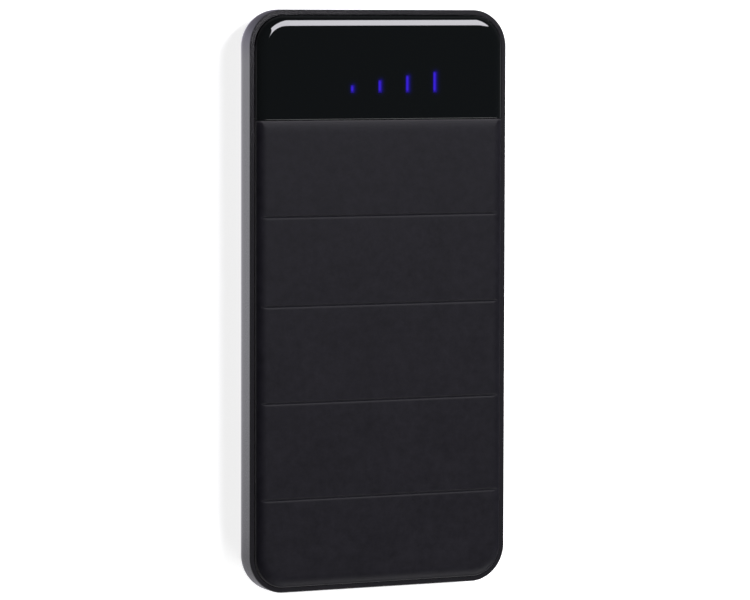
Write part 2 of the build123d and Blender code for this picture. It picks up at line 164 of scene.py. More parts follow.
def looseBoxes(node):
    # The boxes of a part's separate solids, in millimetres, from left to right.
    work = bmesh.new()
    work.from_mesh(nodes[node].data)
    bmesh.ops.remove_doubles(work, verts=work.verts, dist=1e-6)
    left = set(work.verts)
    boxes = []
    while left:
        stack = [left.pop()]
        group = []
        while stack:
            vert = stack.pop()
            group.append(vert.co / mm)
            for edge in vert.link_edges:
                other = edge.other_vert(vert)
                if other in left:
                    left.remove(other)
                    stack.append(other)
        low = Vector([min(p[k] for p in group) for k in range(3)])
        boxes.append((low, Vector([max(p[k] for p in group) for k in range(3)])))
    work.free()
    return sorted(boxes, key=lambda box: (round(box[0].x, 2), round(box[0].y, 2)))


def stackedBody(name, outlines):
    # A closed body through a stack of outlines with the same number of points each.
    count = len(outlines[0])
    points = [point for outline in outlines for point in outline]
    faces = [(base + k, base + (k + 1) % count, base + (k + 1) % count + count,
              base + k + count) for base in range(0, len(points) - count, count)
             for k in range(count)]
    faces += [tuple(range(count)), tuple(range(len(points) - count, len(points)))]
    return linkPiece(name, meshFrom(name, points, faces))


def turnedBody(name, profile, segments, wobble=None):
    # A lathe shape about Z from (radius, height) steps. Wobble changes a radius by its turn.
    outlines = []
    for radius, height in profile:
        outline = []
        for j in range(segments):
            a = 2 * math.pi * j / segments
            r = radius + (wobble(radius, height, j / segments) if wobble else 0)
            outline.append((r * math.cos(a), r * math.sin(a), height))
        outlines.append(outline)
    return stackedBody(name, outlines)


def stripBody(name, path, width, thickness):
    # A bent metal strip: a path of (along, height) steps in Y and Z, with a width in X.
    outlines = []
    for k, (y, z) in enumerate(path):
        before, after = path[max(0, k - 1)], path[min(len(path) - 1, k + 1)]
        run = Vector((after[0] - before[0], after[1] - before[1])).normalized()
        side = Vector((-run.y, run.x)) * thickness / 2
        outlines.append([(x * width / 2, y + sign * side.x, z + sign * side.y)
                         for x, sign in ((-1, -1), (1, -1), (1, 1), (-1, 1))])
    return stackedBody(name, outlines)


boxFaces = ((0, 1, 3, 2), (4, 6, 7, 5), (0, 4, 5, 1), (2, 3, 7, 6), (0, 2, 6, 4), (1, 5, 7, 3))


def boxCorners(low, high):
    return [(x, y, z) for x in (low[0], high[0]) for y in (low[1], high[1])
            for z in (low[2], high[2])]


def softenEdges(piece, width, segments):
    soft = piece.modifiers.new("soft", "BEVEL")
    soft.width = width * mm
    soft.segments = segments
    plainMesh(piece)


def cutWith(piece, cutters):
    for cutter in cutters:
        cut = piece.modifiers.new("cut", "BOOLEAN")
        cut.operation = "DIFFERENCE"
        cut.solver = "EXACT"
        cut.object = cutter
    plainMesh(piece)
    for cutter in cutters:
        bpy.data.objects.remove(cutter)
    return piece


def smoothShade(piece, sharpAngle=35):
    mesh = piece.data
    for polygon in mesh.polygons:
        polygon.use_smooth = True
    mesh.set_sharp_from_angle(angle=math.radians(sharpAngle))
    weighted = piece.modifiers.new("even", "WEIGHTED_NORMAL")
    weighted.keep_sharp = True
    weighted.weight = 100
    return plainMesh(piece)


def finishPiece(piece, body, slot, stoodFor=()):
    piece.data.materials.clear()
    piece.data.materials.append(slotMaterials[slot])
    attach(piece, body)
    if stoodFor:
        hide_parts(*stoodFor)
    return piece


# Camera and studio

view = {"yaw": 25.304, "pitch": 3.903, "roll": 0.128, "distance": 1.0116,
        "aim": (-0.00178, 0.00007), "focal": 198.96, "sensor": 36.0}


def makeCamera():
    yaw, pitch, roll = (math.radians(view[k]) for k in ("yaw", "pitch", "roll"))
    back = Vector((-math.sin(yaw) * math.cos(pitch), math.sin(pitch),
                   math.cos(yaw) * math.cos(pitch)))
    right = Vector((0, 1, 0)).cross(back).normalized()
    up = back.cross(right)
    turnedRight = math.cos(roll) * right + math.sin(roll) * up
    turnedUp = math.cos(roll) * up - math.sin(roll) * right
    data = bpy.data.cameras.new("camera")
    data.lens = view["focal"]
    data.sensor_width = view["sensor"]
    camera = linkPiece("camera", data)
    aim = Vector((view["aim"][0], view["aim"][1], cadHigh.z))
    camera.matrix_world = Matrix.Translation(aim + back * view["distance"]) @ Matrix(
        (turnedRight, turnedUp, back)).transposed().to_4x4()
    bpy.context.scene.camera = camera


studio = {
    "strip": {"centre": (0.50, 0.461, 1.0), "size": (0.44, 0.72), "power": 14.4},
    "stripTint": (1.0, 0.985, 1.05),
    "skyTop": 0.040, "skyFade": (0.2, 0.55), "skyRing": 0.10, "ringToFoot": 0.95, "ringToHead": 0.10,
    "ringToLeft": -0.09, "ringToRight": -0.07,
    "foot": {"centre": (0.55, -0.80, 0.48), "size": (0.7, 0.5), "power": 5.5},
    "floorColour": 0.8, "floorSeen": 0.80,
    "floorMirrored": ((-0.072, 0.48), (-0.062, 0.62), (-0.057, 0.74), (-0.035, 0.90),
                      (-0.010, 1.00), (0.058, 1.06), (0.066, 0.80), (0.070, 0.46),
                      (0.074, 0.16)),
    "mirrorTint": (0.985, 0.975, 1.05), "mirrorTintHead": (1.0, 0.955, 1.16),
    "floorAcross": ((0.0, 1.0), (0.03, 0.35)),
    "floorHalf": 1500, "floorZ": -0.02, "headFrom": 0.06, "rampReach": 0.1,
}


def areaLight(name, centre, size, power, aim):
    data = bpy.data.lights.new(name, "AREA")
    data.shape = "RECTANGLE"
    data.size, data.size_y = size
    data.energy = power
    light = linkPiece(name, data)
    light.location = centre
    light.rotation_mode = "QUATERNION"
    light.rotation_quaternion = (Vector(aim) - Vector(centre)).to_track_quat("-Z", "Y")
    return light


class Tree:
    # A short way to write a node tree.
    def __init__(self, tree):
        self.tree = tree
        tree.nodes.clear()

    def add(self, kind, inputs=None, **settings):
        made = self.tree.nodes.new(kind)
        for key, value in settings.items():
            setattr(made, key, value)
        for key, value in (inputs or {}).items():
            if isinstance(value, bpy.types.NodeSocket):
                self.tree.links.new(value, made.inputs[key])
            else:
                made.inputs[key].default_value = value
        return made

    def math(self, operation, a, b=0.0, c=0.0):
        return self.add("ShaderNodeMath", {0: a, 1: b, 2: c}, operation=operation).outputs[0]

    def remap(self, value, fromLow, fromHigh, toLow=0.0, toHigh=1.0, **settings):
        return self.add("ShaderNodeMapRange", {
            "Value": value, "From Min": fromLow, "From Max": fromHigh, "To Min": toLow,
            "To Max": toHigh}, **settings).outputs["Result"]

    def axes(self, vector):
        return self.add("ShaderNodeSeparateXYZ", {0: vector}).outputs

    def ramp(self, factor, stops):
        made = self.add("ShaderNodeValToRGB", {"Fac": factor})
        ramp = made.color_ramp
        while len(ramp.elements) < len(stops):
            ramp.elements.new(0.5)
        for element, (place, colour) in zip(ramp.elements, stops):
            element.position = place
            element.color = colour if len(colour) == 4 else (*colour, 1)
        return made.outputs["Color"]


def makeStudio():
    world = bpy.data.worlds.new("studio")
    bpy.context.scene.world = world
    world.use_nodes = True
    tree = Tree(world.node_tree)
    sides = tree.axes(tree.add("ShaderNodeTexCoord").outputs["Generated"])
    band = tree.remap(sides["Z"], *studio["skyFade"], 1.0, 0.0, interpolation_type="SMOOTHSTEP")
    amount = studio["skyRing"]
    for axis, sign, key in (("Y", -1, "ringToFoot"), ("Y", 1, "ringToHead"),
                            ("X", -1, "ringToLeft"), ("X", 1, "ringToRight")):
        lean = tree.math("MAXIMUM", tree.math("MULTIPLY", sides[axis], sign), 0.0)
        amount = tree.math("ADD", tree.math("MULTIPLY", lean, studio[key]), amount)
    sky = tree.math("ADD", tree.math("MULTIPLY", band, amount), studio["skyTop"])
    seen = tree.add("ShaderNodeLightPath").outputs["Is Camera Ray"]
    colour = tree.add("ShaderNodeMix", {"Factor": seen, "A": sky, "B": (1, 1, 1, 1)},
                      data_type="RGBA")
    background = tree.add("ShaderNodeBackground", {"Strength": 1.0})
    tree.tree.links.new(colour.outputs["Result"], background.inputs["Color"])
    out = tree.add("ShaderNodeOutputWorld")
    tree.tree.links.new(background.outputs[0], out.inputs[0])

    strip = studio["strip"]
    light = areaLight("stripLight", strip["centre"], strip["size"], strip["power"],
                      (0, 0.07, 0.012))
    light.data.color = studio["stripTint"]
    foot = studio["foot"]
    areaLight("footLight", foot["centre"], foot["size"], foot["power"], (0, 0, 0.01))

    half, below = studio["floorHalf"], studio["floorZ"]
    points = [(x * half, y * half, below) for x, y in ((-1, -1), (1, -1), (1, 1), (-1, 1))]
    floor = linkPiece("floor", bpy.data.meshes.new("floor"))
    floor.data.from_pydata([tuple(c * mm for c in p) for p in points], [], [(0, 1, 2, 3)])
    material = bpy.data.materials.new("paleFloor")
    material.use_nodes = True
    tree = Tree(material.node_tree)
    path = tree.add("ShaderNodeLightPath")
    mirrored = tree.math("MAXIMUM", path.outputs["Is Glossy Ray"],
                         path.outputs["Is Transmission Ray"])
    place = tree.axes(tree.add("ShaderNodeTexCoord").outputs["Object"])
    reach = studio["rampReach"]
    spot = tree.remap(place["Y"], -reach, reach)
    tints = [studio["mirrorTintHead" if y > studio["headFrom"] else "mirrorTint"]
             for y, tone in studio["floorMirrored"]]
    fade = tree.ramp(spot, [((y + reach) / (2 * reach), tuple(tone / 2 * c for c in tint))
                            for (y, tone), tint in zip(studio["floorMirrored"], tints)])
    (x0, tone0), (x1, tone1) = studio["floorAcross"]
    across = tree.math("MULTIPLY", tree.remap(place["X"], x0, x1, tone0, tone1), 2.0)
    glow = tree.math("MULTIPLY", path.outputs["Is Camera Ray"], studio["floorSeen"])
    tone = (studio["floorColour"],) * 3 + (1,)
    matt = tree.add("ShaderNodeBsdfDiffuse", {"Color": tone})
    lit = tree.add("ShaderNodeEmission", {"Color": (1, 1, 1, 1), "Strength": glow})
    both = tree.add("ShaderNodeAddShader", {0: matt.outputs[0], 1: lit.outputs[0]})
    inMirror = tree.add("ShaderNodeEmission", {"Color": fade, "Strength": across})
    either = tree.add("ShaderNodeMixShader", {0: mirrored, 1: both.outputs[0],
                                              2: inMirror.outputs[0]})
    under = tree.add("ShaderNodeNewGeometry").outputs["Backfacing"]
    clear = tree.add("ShaderNodeBsdfTransparent")
    oneWay = tree.add("ShaderNodeMixShader", {0: under, 1: either.outputs[0],
                                              2: clear.outputs[0]})
    tree.add("ShaderNodeOutputMaterial", {0: oneWay.outputs[0]})
    floor.data.materials.append(material)


makeCamera()
makeStudio()
bpy.context.scene.view_settings.view_transform = "Standard"
print("camera and studio made")


# The plan shape that casing, cover and window share

casing = {"halfWidth": 34.5, "halfLength": 70.75, "corner": 9.0, "backRadius": 6.6,
          "rimZ": 10.6, "rimWidth": 1.2, "skirtZ": 9.2, "wall": 1.8, "floor": 1.6,
          "lipRound": 0.26, "lipCrease": 26, "cornerSteps": 20, "sideRise": 1.2,
          "rimBreak": 0.03, "rowYs": (-55, -40, -25, -10, 5, 20, 35, 50), "sharpAngle": 22}
cover = {"gap": 0.15, "run": 2.8, "topZ": 12.0, "plateZ": 10.4, "skirtWall": 1.0,
         "windowY": 44.05, "seam": 0.12, "windowPlate": 1.0, "windowLip": 1.3,
         "windowEdge": 0.2, "lensLedge": 0.4, "slotRoom": 0.04, "skirtBreak": 0.1,
         "rowYs": (-58, -38, -15, 8, 32), "windowYs": (46, 48, 52, 56, 60), "sharpAngle": 30,
         "grooves": (20.72, -0.92, -24.42, -47.92)}
coverInset = casing["rimWidth"] + cover["gap"]


def planRows(halfX, halfY, corner, innerYs):
    # Rows across a rounded rectangle: (half width, y, outward normal at the right end).
    rows = []
    steps = casing["cornerSteps"]
    for k in range(steps + 1):
        a = math.radians(90 * (1 - k / steps))
        rows.append((halfX - corner + corner * math.cos(a), -(halfY - corner)
                     - corner * math.sin(a), math.cos(a), -math.sin(a)))
    rows += [(halfX, y, 1.0, 0.0) for y in sorted(innerYs)]
    for k in range(steps + 1):
        a = math.radians(90 * k / steps)
        rows.append((halfX - corner + corner * math.cos(a), halfY - corner
                     + corner * math.sin(a), math.cos(a), math.sin(a)))
    return rows


def rowedBody(name, rows, columns, rings, openLow=False, openHigh=False, lift=None):
    # A closed body: a flat of rows, rings of (offset, height) round it, and a far flat at the
    # last ring. An open end is a straight cut across the body, closed by one face.
    spots = [-1 + 2 * j / columns for j in range(columns + 1)]
    points, index = [], {}

    def put(key, x, y, z):
        if key not in index:
            index[key] = len(points)
            points.append((x, y, lift(y, z) if lift else z))
        return index[key]

    last = len(rings) - 1

    def at(level, i, j):
        # Level 0 is the first flat; its rim is also the first ring.
        halfX, y, nx, ny = rows[i]
        offset, z = rings[level]
        return put((level, i, j), (halfX + offset * nx) * spots[j], y + offset * ny, z)

    top = len(rows) - 1
    faces = []
    for level in (0, last):
        for i in range(top):
            for j in range(columns):
                faces.append((at(level, i, j), at(level, i, j + 1), at(level, i + 1, j + 1),
                              at(level, i + 1, j)))
    rightSide = [(i, columns) for i in range(top + 1)]
    leftSide = [(i, 0) for i in range(top, -1, -1)]
    highEnd = [(top, j) for j in range(columns - 1, 0, -1)]
    lowEnd = [(0, j) for j in range(1, columns)]
    if openHigh:
        loop = leftSide + lowEnd + rightSide
    else:
        loop = rightSide + highEnd + leftSide + ([] if openLow else lowEnd + [(0, columns)])
    pairs = list(zip(loop, loop[1:]))
    for level in range(last):
        for (i0, j0), (i1, j1) in pairs:
            faces.append((at(level, i0, j0), at(level, i1, j1), at(level + 1, i1, j1),
                          at(level + 1, i0, j0)))
    if openLow or openHigh:
        i = 0 if openLow else top
        face = [at(0, i, j) for j in range(columns + 1)]
        face += [at(level, i, columns) for level in range(1, last)]
        face += [at(last, i, j) for j in range(columns, -1, -1)]
        face += [at(level, i, 0) for level in range(last - 1, 0, -1)]
        faces.append(tuple(face))
    return meshFrom(name, points, faces)


# Rear shell, with its openings for the sockets and the button

opening = {"room": 0.25, "corner": 0.8, "depth": 8, "flare": 0.3, "flareDepth": 0.45,
           "buttonFlange": 0.7, "buttonPlay": 0.24, "buttonDepth": 4, "buttonFlare": (0.12, 0.2)}


def roundedCutter(name, centre, size, corner, axis, depth, flare=0.0, flareDepth=0.0):
    # A rounded slot to cut with. It widens by flare over its last flareDepth.
    width, height = size
    steps = 8
    rim = []
    for quarter, (sx, sy) in enumerate(((1, 1), (-1, 1), (-1, -1), (1, -1))):
        for k in range(steps + 1):
            a = math.radians(90 * quarter + 90 * k / steps)
            rim.append((sx * (width / 2 - corner) + corner * math.cos(a),
                        sy * (height / 2 - corner) + corner * math.sin(a)))
    start, end = depth
    outlines = []
    for run, extra in ((start, 0.0), (end - flareDepth, 0.0), (end, flare), (end + 3, flare)):
        spots = [(centre[0] + (u + math.copysign(extra, u)),
                  centre[1] + (v + math.copysign(extra, v))) for u, v in rim]
        outlines.append([(u, run, v) if axis == "Y" else (run, u, v) for u, v in spots])
    return stackedBody(name, outlines)


def boxIn(name):
    low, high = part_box(name)
    return low / mm, high / mm


def makeRearShell():
    radius = casing["backRadius"]
    lip = casing["lipRound"]
    rimZ = casing["rimZ"]
    innerRadius = radius - casing["wall"]
    rings = [(0.0, 0.0)]
    rings += [(radius * math.sin(a), radius * (1 - math.cos(a)))
              for a in (math.radians(90 * k / 16) for k in range(1, 17))]
    crease = math.radians(casing["lipCrease"])
    startZ = rimZ - lip * math.cos(crease)
    rings += [(radius, radius + casing["sideRise"]), (radius, startZ)]
    rings += [(radius - lip * (1 - math.cos(a)), startZ + lip * math.sin(a))
              for a in ((math.pi / 2 - crease) * k / 8 for k in range(1, 9))]
    inner = radius - casing["rimWidth"]
    rings += [(inner + casing["rimBreak"], rimZ), (inner, rimZ - casing["rimBreak"])]
    rings += [(inner, casing["skirtZ"]), (innerRadius, casing["skirtZ"]),
              (innerRadius, radius)]
    rings += [(innerRadius - innerRadius * (1 - math.cos(a)), radius - innerRadius
               * math.sin(a)) for a in (math.radians(90 * k / 12) for k in range(1, 12))]
    rings += [(0.0, casing["floor"])]
    rows = planRows(casing["halfWidth"] - radius, casing["halfLength"] - radius,
                    casing["corner"] - radius, casing["rowYs"])
    shell = linkPiece("rearShell", rowedBody("rearShell", rows, 10, rings))
    cutters = []
    room = opening["room"]
    endY = casing["halfLength"]
    for node in ("usb_a_shell_left", "usb_a_shell_right", "micro_usb_shell"):
        low, high = boxIn(node)
        size = (high.x - low.x + 2 * room, high.z - low.z + 2 * room)
        centre = ((low.x + high.x) / 2, (low.z + high.z) / 2)
        cutters.append(roundedCutter("cut" + node, centre, size, opening["corner"], "Y",
                                     (endY - opening["depth"], endY), opening["flare"],
                                     opening["flareDepth"]))
    low, high = boxIn("power_button")
    centre = ((low.y + high.y) / 2, (low.z + high.z) / 2)
    less = 2 * opening["buttonFlange"]
    play = opening["buttonPlay"]
    size = (high.y - low.y - less + play, high.z - low.z - less + play)
    endX = casing["halfWidth"]
    cutters.append(roundedCutter("cutButton", centre, size, size[1] / 2 - 0.01, "X",
                                 (endX - opening["buttonDepth"], endX),
                                 *opening["buttonFlare"]))
    cutWith(shell, cutters)
    smoothShade(shell, casing["sharpAngle"])
    return finishPiece(shell, "casing", "shell_plastic", ["rear_shell"])


# Front cover and display window

# (place across the line, drop) in millimetres
seamProfile = [(0.0, 0.42), (0.03, 0.36), (0.08, 0.315), (0.20, 0.272), (0.45, 0.202),
               (0.70, 0.146), (1.00, 0.098), (1.45, 0.050), (2.00, 0.018), (2.60, 0.0)]
grooveProfile = [(-0.90, 0.0), (-0.62, 0.006), (-0.46, 0.022), (-0.40, 0.034), (-0.20, 0.086),
                 (-0.15, 0.110), (0.0, 0.262), (0.03, 0.288), (0.06, 0.295), (0.10, 0.275),
                 (0.36, 0.045), (0.40, 0.015), (0.45, 0.003), (0.50, 0.0)]
deepest = max(drop for place, drop in grooveProfile)


def profileCurve(tree, value, profile, low, high, depth):
    # Reads a (place, drop) profile at value, by a curve from low to high scaled to depth.
    made = tree.add("ShaderNodeFloatCurve", {"Value": tree.remap(value, low * mm, high * mm)})
    curve = made.mapping.curves[0]
    spots = [((place - low) / (high - low), drop / depth) for place, drop in profile]
    curve.points[0].location, curve.points[1].location = spots[0], spots[-1]
    for spot in spots[1:-1]:
        curve.points.new(*spot)
    for point in curve.points:
        point.handle_type = "VECTOR"
    made.mapping.update()
    return made.outputs[0]


def pressTree():
    # Presses the cross grooves and the rolled seam edge into the cover's flat.
    grooves = cover["grooves"]
    sockets = [("Top", "Float", 0.0), ("GrooveDepth", "Float", 0.0), ("Seam", "Float", 0.0),
               ("SeamDepth", "Float", 0.0), ("Finish", "Material", None)]
    sockets += [("Groove%d" % k, "Float", 0.0) for k in range(1, len(grooves) + 1)]
    tree, given = nodeTree("pressedGrooves", sockets)
    place = tree.add("GeometryNodeInputPosition").outputs[0]
    parts = tree.axes(place)
    low, high = grooveProfile[0][0], grooveProfile[-1][0]
    drop = None
    for k in range(1, len(grooves) + 1):
        off = tree.math("SUBTRACT", parts["Y"], given["Groove%d" % k])
        depth = tree.math("MULTIPLY", given["GrooveDepth"],
                          profileCurve(tree, off, grooveProfile, low, high, deepest))
        drop = depth if drop is None else tree.math("MAXIMUM", drop, depth)
    off = tree.math("SUBTRACT", given["Seam"], parts["Y"])
    edge = profileCurve(tree, off, seamProfile, 0.0, seamProfile[-1][0], seamProfile[0][1])
    drop = tree.math("MAXIMUM", drop, tree.math("MULTIPLY", edge, given["SeamDepth"]))
    limit = tree.math("SUBTRACT", given["Top"], drop)
    pressed = tree.add("ShaderNodeCombineXYZ", {
        "X": parts["X"], "Y": parts["Y"], "Z": tree.math("MINIMUM", parts["Z"], limit)})
    moved = tree.add("GeometryNodeSetPosition", {"Geometry": given["Geometry"],
                                                 "Position": pressed.outputs[0]})
    return closeTree(tree, moved.outputs[0], given["Finish"])


def coverRings(flatZ, underOffset, skirtZ, underZ):
    run = cover["run"]
    stand = cover["topZ"] - casing["rimZ"]
    rings = [(0.0, flatZ)]
    for k in range(1, 17):
        a = math.radians(90 * k / 16)
        rings.append((run * math.sin(a), flatZ - stand * (1 - math.cos(a))))
    rings += [(run, skirtZ + cover["skirtBreak"]), (run - cover["skirtBreak"], skirtZ),
              (run - underOffset, skirtZ), (run - underOffset, underZ)]
    return rings


def coverPlan(ys):
    run = cover["run"]
    inset = coverInset + run
    return planRows(casing["halfWidth"] - inset, casing["halfLength"] - inset,
                    casing["corner"] - inset, ys)


def makeFrontCover():
    ys = list(cover["rowYs"])
    for place in cover["grooves"]:
        ys += [place + step for step, drop in grooveProfile]
    seam = cover["windowY"]
    ys += [seam - step for step, drop in seamProfile] + [seam - 3.2]
    rows = [row for row in coverPlan(ys) if row[1] <= seam + 1e-6]
    mesh = rowedBody("frontCover", rows, 12,
                     coverRings(cover["topZ"], cover["skirtWall"], casing["skirtZ"],
                                cover["plateZ"]), openHigh=True)
    piece = linkPiece("frontCover", mesh)
    values = {"Groove%d" % k: place * mm for k, place in enumerate(cover["grooves"], 1)}
    growPiece(piece, pressTree(), Top=cover["topZ"] * mm, GrooveDepth=deepest * mm,
              Seam=seam * mm, SeamDepth=seamProfile[0][1] * mm,
              Finish=slotMaterials["cover_plastic"], **values)
    smoothShade(piece, cover["sharpAngle"])
    return finishPiece(piece, "casing", "cover_plastic", ["front_cover"])


def lensBoxes():
    return [boxIn("indicator_lens_%d" % k) for k in range(1, 5)]


def makeWindow():
    seam = cover["windowY"] + cover["seam"]
    edge = cover["windowEdge"]
    edgeYs = [seam + edge * (1 - math.cos(math.radians(15 * k))) for k in range(7)]
    plan = coverPlan(edgeYs + list(cover["windowYs"]))
    rows = [row for row in plan if row[1] >= seam - 1e-6]
    underZ = cover["topZ"] - cover["windowPlate"]

    def windowLift(y, z):
        off = min(edge, y - seam)
        drop = edge - math.sqrt(max(0.0, edge ** 2 - (edge - off) ** 2))
        return min(z, cover["topZ"] - drop) if z > casing["rimZ"] + 0.01 else z

    mesh = rowedBody("displayWindow", rows, 12,
                     coverRings(cover["topZ"], cover["windowLip"], cover["plateZ"], underZ),
                     openLow=True, lift=windowLift)
    piece = linkPiece("displayWindow", mesh)
    cutters = []
    inset = cover["lensLedge"] - cover["slotRoom"]
    for low, high in lensBoxes():
        corners = boxCorners((low.x + inset, low.y + inset, underZ - 1),
                             (high.x - inset, high.y - inset, cover["topZ"] + 1))
        cutters.append(linkPiece("slot", meshFrom("slot", corners, boxFaces)))
    cutWith(piece, cutters)
    smoothShade(piece)
    return finishPiece(piece, "casing", "window_gloss", ["display_window"])


# Materials

def newMaterial(name):
    material = bpy.data.materials.new(name)
    material.use_nodes = True
    tree = Tree(material.node_tree)
    place = tree.add("ShaderNodeTexCoord").outputs["Object"]
    return material, tree, place


def shadeOut(tree, **inputs):
    shader = tree.add("ShaderNodeBsdfPrincipled", inputs)
    tree.add("ShaderNodeOutputMaterial", {0: shader.outputs[0]})
    return shader


def noise(tree, place, scale, detail=4.0, roughness=0.5):
    return tree.add("ShaderNodeTexNoise", {"Vector": place, "Scale": scale, "Detail": detail,
                                           "Roughness": roughness}).outputs["Fac"]


def mixColour(tree, factor, a, b):
    a = (*a, 1) if not isinstance(a, bpy.types.NodeSocket) else a
    b = (*b, 1) if not isinstance(b, bpy.types.NodeSocket) else b
    return tree.add("ShaderNodeMix", {"Factor": factor, "A": a, "B": b},
                    data_type="RGBA").outputs["Result"]


shellFinish = {"tones": ((0.0110, 0.0105, 0.0125), (0.0145, 0.0135, 0.0165)),
               "roughness": (0.095, 0.125), "relief": 0.22, "index": 2.0}
# Places of the cover's finish are in metres: back from the seam, or heights. The seam and edge tones
# are painted highlights.
coverFinishAndHighlights = {"tones": ((0.0044, 0.0041, 0.0064), (0.0104, 0.0097, 0.0136)),
               "seamHighlightTone": (0.044, 0.042, 0.045), "seamHighlightFrom": 0.00055, "seamHighlightTo": 0.0001,
               "wallFrom": 0.00016, "wallTo": 0.00006,
               "edgeHighlightTone": (0.150, 0.145, 0.152), "edgeHighlightFrom": 0.01115, "edgeHighlightTo": 0.01065,
               "roughness": (0.45, 0.51), "specular": 0.11, "sheen": 0.05}


def shellPlastic():
    material, tree, place = newMaterial("shellPlastic")
    grain = noise(tree, place, 5200, 3)
    cloud = noise(tree, place, 60, 3)
    bump = tree.add("ShaderNodeBump", {"Strength": shellFinish["relief"],
                                       "Distance": 0.000003, "Height": grain})
    shader = shadeOut(tree, **{
        "Base Color": mixColour(tree, cloud, *shellFinish["tones"]),
        "Roughness": tree.remap(cloud, 0, 1, *shellFinish["roughness"]),
        "Normal": bump.outputs[0]})
    shader.inputs["IOR"].default_value = shellFinish["index"]
    return material


def coverPlastic():
    material, tree, place = newMaterial("coverPlastic")
    cells = tree.add("ShaderNodeTexVoronoi", {"Vector": place, "Scale": 2400.0},
                     feature="SMOOTH_F1").outputs["Distance"]
    fine = noise(tree, place, 6000, 3)
    pits = tree.add("ShaderNodeTexVoronoi", {"Vector": place, "Scale": 260.0,
                                             "Randomness": 1.0}).outputs["Distance"]
    speck = tree.ramp(pits, [(0.0, (0, 0, 0)), (0.09, (1, 1, 1))])
    cloud = noise(tree, place, 90, 4)
    height = tree.math("ADD", tree.math("MULTIPLY", cells, 0.6), tree.math("MULTIPLY", fine, 0.4))
    height = tree.math("ADD", height, tree.math("MULTIPLY", speck, 0.8))
    bump = tree.add("ShaderNodeBump", {"Strength": 0.5, "Distance": 0.00002, "Height": height})
    patch = noise(tree, place, 420, 5, 0.7)
    cloud = tree.math("ADD", tree.math("MULTIPLY", cloud, 0.3), tree.math("MULTIPLY", patch, 0.7))
    cloud = tree.remap(cloud, 0.32, 0.68)
    parts = tree.axes(place)
    # Painted highlight mask: rises towards the low outer part of the cover's rolled edge
    edgeHighlight = tree.remap(parts["Z"], coverFinishAndHighlights["edgeHighlightFrom"], coverFinishAndHighlights["edgeHighlightTo"])
    seam = cover["windowY"] * mm
    roll = tree.remap(parts["Y"], seam - coverFinishAndHighlights["seamHighlightFrom"], seam - coverFinishAndHighlights["seamHighlightTo"])
    highlightBeforeWall = tree.remap(parts["Y"], seam - coverFinishAndHighlights["wallFrom"], seam - coverFinishAndHighlights["wallTo"],
                       1.0, 0.0)
    colour = mixColour(tree, cloud, *coverFinishAndHighlights["tones"])
    # Painted highlight: a lighter band on the rolled seam edge, ending just short of the seam with
    # the window
    colour = mixColour(tree, tree.math("MULTIPLY", roll, highlightBeforeWall), colour, coverFinishAndHighlights["seamHighlightTone"])
    # Painted highlight: a lighter tone on the low outer part of the cover's rolled edge
    colour = mixColour(tree, edgeHighlight, colour, coverFinishAndHighlights["edgeHighlightTone"])
    shader = shadeOut(tree, **{"Base Color": colour, "Normal": bump.outputs[0],
                               "Roughness": tree.remap(cloud, 0, 1, *coverFinishAndHighlights["roughness"])})
    shader.inputs["Specular IOR Level"].default_value = coverFinishAndHighlights["specular"]
    shader.inputs["Sheen Weight"].default_value = coverFinishAndHighlights["sheen"]
    shader.inputs["Sheen Roughness"].default_value = 0.3
    shader.inputs["Sheen Tint"].default_value = (0.95, 0.93, 1.0, 1)
    return material


# The lit bars, in millimetres: the glow lies on the window, the core on the bar itself
barLight = {"glowShift": 0.20, "glowTrim": 0.85, "glowReach": 0.27, "glowStrength": 0.8,
            "glowTint": (0.02, 0.004, 0.62, 1), "coreShift": -0.08, "coreTrim": 0.95,
            "coreFade": (0.08, 0.46), "coreStrength": (0.95, 0.22), "endFade": 0.7,
            "upShift": 0.12}


def offBars(tree, place, shift, trim):
    # For each bar, how far a spot is from its middle line and how far beyond its ends.
    parts = tree.axes(place)
    found = []
    for low, high in lensBoxes():
        middleX = ((low.x + high.x) / 2 + shift) * mm
        middleY = ((low.y + high.y) / 2 + barLight["upShift"]) * mm
        across = tree.math("ABSOLUTE", tree.math("SUBTRACT", parts["X"], middleX))
        along = tree.math("ABSOLUTE", tree.math("SUBTRACT", parts["Y"], middleY))
        beyond = tree.math("SUBTRACT", along, ((high.y - low.y) / 2 - trim) * mm)
        found.append((across, tree.math("MAXIMUM", beyond, 0.0)))
    return found


def windowGloss():
    material, tree, place = newMaterial("windowGloss")
    haze = noise(tree, place, 35, 3)
    glow = None
    for across, beyond in offBars(tree, place, barLight["glowShift"], barLight["glowTrim"]):
        reach = tree.math("SQRT", tree.math("ADD", tree.math("MULTIPLY", across, across),
                                            tree.math("MULTIPLY", beyond, beyond)))
        decay = tree.math("MULTIPLY", reach, -1 / (barLight["glowReach"] * mm))
        near = tree.math("POWER", 2.718, decay)
        glow = near if glow is None else tree.math("ADD", glow, near)
    strength = tree.math("MULTIPLY", glow, barLight["glowStrength"])
    shader = shadeOut(tree, **{"Base Color": (0.0040, 0.0050, 0.0054, 1),
                               "Roughness": tree.remap(haze, 0, 1, 0.02, 0.035),
                               "Emission Color": barLight["glowTint"],
                               "Emission Strength": strength})
    shader.inputs["IOR"].default_value = 1.49
    return material


def lensBlue():
    material, tree, place = newMaterial("lensBlue")
    cloud = noise(tree, place, 900, 2)
    colour = mixColour(tree, cloud, (0.024, 0.008, 0.56), (0.036, 0.013, 0.70))
    core = None
    for across, beyond in offBars(tree, place, barLight["coreShift"], barLight["coreTrim"]):
        off = tree.math("ADD", across, tree.math("MULTIPLY", beyond, barLight["endFade"]))
        core = off if core is None else tree.math("MINIMUM", core, off)
    near, far = barLight["coreFade"]
    strength = tree.remap(core, near * mm, far * mm, *barLight["coreStrength"])
    shadeOut(tree, **{"Base Color": (0.01, 0.005, 0.08, 1), "Roughness": 0.03,
                      "Emission Color": colour, "Emission Strength": strength})
    return material


